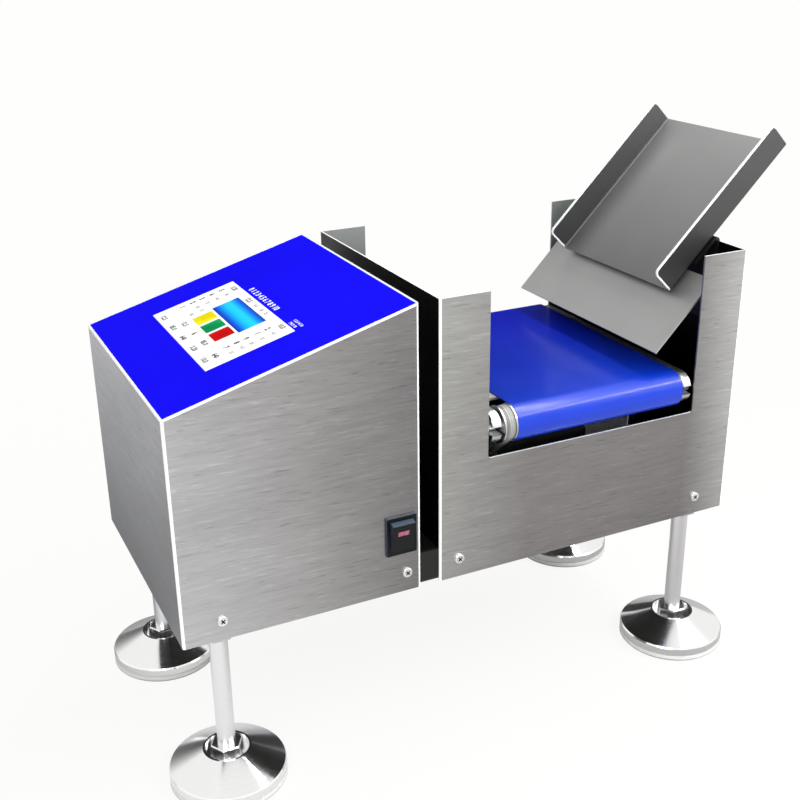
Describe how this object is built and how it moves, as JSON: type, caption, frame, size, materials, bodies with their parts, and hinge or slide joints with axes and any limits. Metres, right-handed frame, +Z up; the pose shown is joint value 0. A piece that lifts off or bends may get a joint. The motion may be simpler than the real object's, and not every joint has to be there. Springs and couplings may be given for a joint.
{
  "type": "belt weighing scale",
  "caption": "Bench belt scale: stainless control box with sloping touch panel, notched housing with a driven weigh belt, feed chute at one end, swivel levelling feet.",
  "frame": {"origin": "on the floor, under the middle of the whole machine's bounding box", "axes": "+X from the operator's control box to the feed chute, +Y from the switch side to the inlet side, +Z up"},
  "size_m": [0.5554, 0.27, 0.449],
  "materials": {
    "stainless_sheet": "brushed along the horizontal",
    "polished_stainless": "polished",
    "bright_steel": "turned",
    "aluminium": "milled",
    "plate_aluminium": "milled, bead blasted",
    "panel_film": "satin film",
    "screen": "gloss",
    "circuit_board": "gloss",
    "black_plastic": "moulded",
    "lamp_window": "gloss",
    "pad_rubber": "matt",
    "belt_blue": "smooth satin",
    "grey_urethane": "smooth satin",
    "frame_paint": "satin",
    "motor_paint": "satin"
  },
  "bodies": {
    "root": {"base_frame": "frame_paint", "foot_lock_nuts": "bright_steel", "control_casing": "stainless_sheet", "control_panel": "aluminium", "panel_overlay": "panel_film", "touch_screen": "screen", "board_standoffs": "bright_steel", "controller_board": "circuit_board", "power_supply": "aluminium", "switch_body": "black_plastic", "mains_inlet": "black_plastic", "housing_front_wall": "stainless_sheet", "housing_back_wall": "stainless_sheet", "housing_left_wall": "stainless_sheet", "housing_right_wall": "stainless_sheet", "casing_screws": "bright_steel", "chute": "stainless_sheet", "guide_plate": "stainless_sheet", "chute_bracket": "stainless_sheet", "guide_bracket": "stainless_sheet", "bracket_screws": "bright_steel", "cell_base_block": "aluminium", "load_cell": "aluminium", "cell_bolts": "bright_steel", "overload_stops": "bright_steel"},
    "foot_front_left": {"foot_stud_front_left": "bright_steel"},
    "cup_front_left": {"foot_cup_front_left": "polished_stainless", "foot_pad_front_left": "pad_rubber"},
    "foot_back_left": {"foot_stud_back_left": "bright_steel"},
    "cup_back_left": {"foot_cup_back_left": "polished_stainless", "foot_pad_back_left": "pad_rubber"},
    "foot_front_right": {"foot_stud_front_right": "bright_steel"},
    "cup_front_right": {"foot_cup_front_right": "polished_stainless", "foot_pad_front_right": "pad_rubber"},
    "foot_back_right": {"foot_stud_back_right": "bright_steel"},
    "cup_back_right": {"foot_cup_back_right": "polished_stainless", "foot_pad_back_right": "pad_rubber"},
    "rocker": {"switch_rocker": "black_plastic", "switch_lamp": "lamp_window"},
    "weigh_frame": {"cell_top_block": "aluminium", "weigh_platform": "aluminium", "side_plate_left": "plate_aluminium", "side_plate_right": "plate_aluminium", "cross_bars": "stainless_sheet", "slider_bed": "stainless_sheet", "front_axle": "bright_steel", "rear_axle": "bright_steel", "axle_screws": "bright_steel", "conveyor_belt": "belt_blue", "timing_belt": "grey_urethane", "gear_motor": "motor_paint", "motor_bracket": "stainless_sheet"},
    "drive_roller": {"front_roller": "aluminium", "roller_pulley": "aluminium", "front_bearings": "bright_steel"},
    "idler_roller": {"rear_roller": "aluminium", "rear_bearings": "bright_steel"},
    "motor_rotor": {"motor_shaft": "bright_steel", "motor_pulley": "aluminium"}
  },
  "joints": [
    {"name": "level_front_left", "type": "slide", "parent": "root", "child": "foot_front_left", "axis": [0, 0, 1], "range_m": [-0.01, 0.01]},
    {"name": "level_back_left", "type": "slide", "parent": "root", "child": "foot_back_left", "axis": [0, 0, 1], "range_m": [-0.01, 0.01]},
    {"name": "level_front_right", "type": "slide", "parent": "root", "child": "foot_front_right", "axis": [0, 0, 1], "range_m": [-0.01, 0.01]},
    {"name": "level_back_right", "type": "slide", "parent": "root", "child": "foot_back_right", "axis": [0, 0, 1], "range_m": [-0.01, 0.01]},
    {"name": "tilt_front_left", "type": "hinge", "parent": "foot_front_left", "child": "cup_front_left", "pos_m": [-0.23269, -0.09, 0.014], "axis": [0, 1, 0], "range_deg": [-8, 8]},
    {"name": "tilt_back_left", "type": "hinge", "parent": "foot_back_left", "child": "cup_back_left", "pos_m": [-0.23269, 0.09, 0.014], "axis": [0, 1, 0], "range_deg": [-8, 8]},
    {"name": "tilt_front_right", "type": "hinge", "parent": "foot_front_right", "child": "cup_front_right", "pos_m": [0.18881, -0.09, 0.014], "axis": [0, 1, 0], "range_deg": [-8, 8]},
    {"name": "tilt_back_right", "type": "hinge", "parent": "foot_back_right", "child": "cup_back_right", "pos_m": [0.18881, 0.09, 0.014], "axis": [0, 1, 0], "range_deg": [-8, 8]},
    {"name": "rocker_tip", "type": "hinge", "parent": "root", "child": "rocker", "pos_m": [-0.09249, -0.1115, 0.1836], "axis": [-1, 0, 0], "range_deg": [0, 21.9]},
    {"name": "platform_give", "type": "slide", "parent": "root", "child": "weigh_frame", "axis": [0, 0, 1], "range_m": [-0.00025, 0], "stiffness_N_per_m": 150000, "springref_m": 0.0006},
    {"name": "drive_spin", "type": "hinge", "parent": "weigh_frame", "child": "drive_roller", "pos_m": [0.07831, -0.0983, 0.251], "axis": [1, 0, 0], "continuous": true},
    {"name": "idler_spin", "type": "hinge", "parent": "weigh_frame", "child": "idler_roller", "pos_m": [0.07831, 0.0983, 0.251], "axis": [1, 0, 0], "continuous": true},
    {"name": "motor_spin", "type": "hinge", "parent": "weigh_frame", "child": "motor_rotor", "pos_m": [0.07831, -0.05, 0.2086], "axis": [1, 0, 0], "continuous": true}
  ],
  "couplings": [
    {"joint": "idler_spin", "follows": "drive_spin", "ratio": 1},
    {"joint": "motor_spin", "follows": "drive_spin", "ratio": 1}
  ]
}
